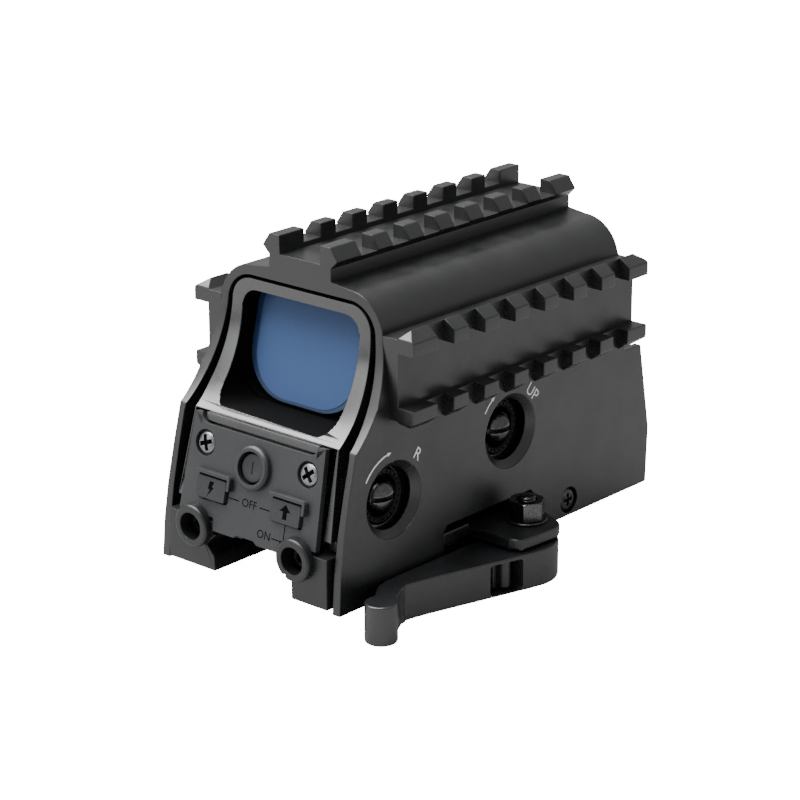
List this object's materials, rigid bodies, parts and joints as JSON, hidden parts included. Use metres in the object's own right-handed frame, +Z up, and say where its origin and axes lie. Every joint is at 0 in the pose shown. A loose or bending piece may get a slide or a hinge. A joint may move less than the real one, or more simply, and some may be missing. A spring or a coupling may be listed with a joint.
{
  "type": "red dot sight",
  "caption": "Hooded reflex red dot sight with accessory rails on three sides, push-button panel, slotted adjusters and a cam-lever rail clamp.",
  "frame": {"origin": "middle of the flat seat that rests on top of the host's rail", "axes": "+Z up from the rail, +Y the way the sight is aimed, +X towards the clamp lever"},
  "size_m": [0.0732, 0.109, 0.0768],
  "materials": {
    "hard_anodised": "matt hard anodised black",
    "cast": "fine textured black paint on a casting",
    "nylon": "moulded glass-filled nylon, satin",
    "rubber": "silicone rubber, matt",
    "black_steel": "blackened steel, satin",
    "plated_steel": "nickel-plated steel",
    "spring_steel": "drawn spring wire",
    "brass": "turned brass",
    "coated_glass": "blue reflective coated glass, polished",
    "board": "glass-epoxy board with solder mask",
    "lamp": "clear red lamp body"
  },
  "bodies": {
    "sight": {"hood_shell": "hard_anodised", "optics_housing": "cast", "front_cap": "cast", "rear_window": "coated_glass", "objective_lens": "coated_glass", "objective_seal": "rubber", "objective_retainer": "hard_anodised", "control_panel": "nylon", "keypad_mat": "rubber", "circuit_board": "board", "panel_screw_left": "plated_steel", "panel_screw_right": "plated_steel", "rail_base": "cast", "recoil_lug": "black_steel", "boss_screw_left": "black_steel", "boss_screw_right": "black_steel", "side_screw_left": "black_steel", "side_screw_right": "black_steel", "jaw_spring_rear": "spring_steel", "jaw_spring_front": "spring_steel", "clamp_bracket": "hard_anodised", "bracket_screw_rear": "black_steel", "bracket_screw_front": "black_steel", "pivot_bolt": "black_steel", "bolt_washer": "black_steel", "bolt_nut": "black_steel", "windage_bush": "brass", "elevation_bush": "brass", "carriage_spring": "spring_steel", "battery_tray": "nylon", "coin_cell": "plated_steel", "battery_contact": "brass"},
    "power_key": {"power_button": "rubber"},
    "mode_key": {"mode_button": "rubber"},
    "brightness_key": {"brightness_button": "rubber"},
    "windage_adjuster": {"windage_screw": "black_steel"},
    "elevation_adjuster": {"elevation_screw": "black_steel"},
    "wedge": {"elevation_wedge": "brass"},
    "lift_stage": {"lift_platform": "nylon"},
    "emitter_stage": {"windage_carriage": "brass", "emitter": "lamp"},
    "lever": {"cam_lever": "hard_anodised", "latch_spring": "spring_steel"},
    "latch": {"lever_latch": "hard_anodised"},
    "jaw": {"moving_jaw": "hard_anodised"}
  },
  "joints": [
    {"name": "power_press", "type": "slide", "parent": "sight", "child": "power_key", "axis": [0, 0.9757, -0.2191], "range_m": [0, 0.0006], "stiffness_N_per_m": 600, "springref_m": -0.001},
    {"name": "mode_press", "type": "slide", "parent": "sight", "child": "mode_key", "axis": [0, 0.9757, -0.2191], "range_m": [0, 0.0006], "stiffness_N_per_m": 600, "springref_m": -0.001},
    {"name": "brightness_press", "type": "slide", "parent": "sight", "child": "brightness_key", "axis": [0, 0.9757, -0.2191], "range_m": [0, 0.0006], "stiffness_N_per_m": 600, "springref_m": -0.001},
    {"name": "windage_turn", "type": "hinge", "parent": "sight", "child": "windage_adjuster", "pos_m": [0.0234, -0.0345, 0.0114], "axis": [1, 0, 0], "range_deg": [-450, 450]},
    {"name": "elevation_turn", "type": "hinge", "parent": "sight", "child": "elevation_adjuster", "pos_m": [0.0234, 0.0039, 0.0163], "axis": [1, 0, 0], "range_deg": [-450, 450]},
    {"name": "wedge_shift", "type": "slide", "parent": "sight", "child": "wedge", "axis": [1, 0, 0], "range_m": [-0.00063, 0.00063]},
    {"name": "emitter_lift", "type": "slide", "parent": "sight", "child": "lift_stage", "axis": [0, 0, 1], "range_m": [-0.00063, 0.00063]},
    {"name": "carriage_shift", "type": "slide", "parent": "lift_stage", "child": "emitter_stage", "axis": [1, 0, 0], "range_m": [-0.00063, 0.00063]},
    {"name": "lever_swing", "type": "hinge", "parent": "sight", "child": "lever", "pos_m": [0.0322, 0.0018, -0.0094], "axis": [0, 0, 1], "range_deg": [0, 100]},
    {"name": "jaw_slide", "type": "slide", "parent": "sight", "child": "jaw", "axis": [1, 0, 0], "range_m": [0, 0.0012]},
    {"name": "latch_slide", "type": "slide", "parent": "lever", "child": "latch", "axis": [0, -1, 0], "range_m": [0, 0.002], "stiffness_N_per_m": 400, "springref_m": -0.003}
  ],
  "couplings": [
    {"joint": "elevation_turn", "follows": "emitter_lift", "rad_per_m": 12566},
    {"joint": "wedge_shift", "follows": "emitter_lift", "ratio": -1},
    {"joint": "windage_turn", "follows": "carriage_shift", "rad_per_m": 12566},
    {"joint": "lever_swing", "follows": "jaw_slide", "rad_per_m": 1454.4}
  ]
}
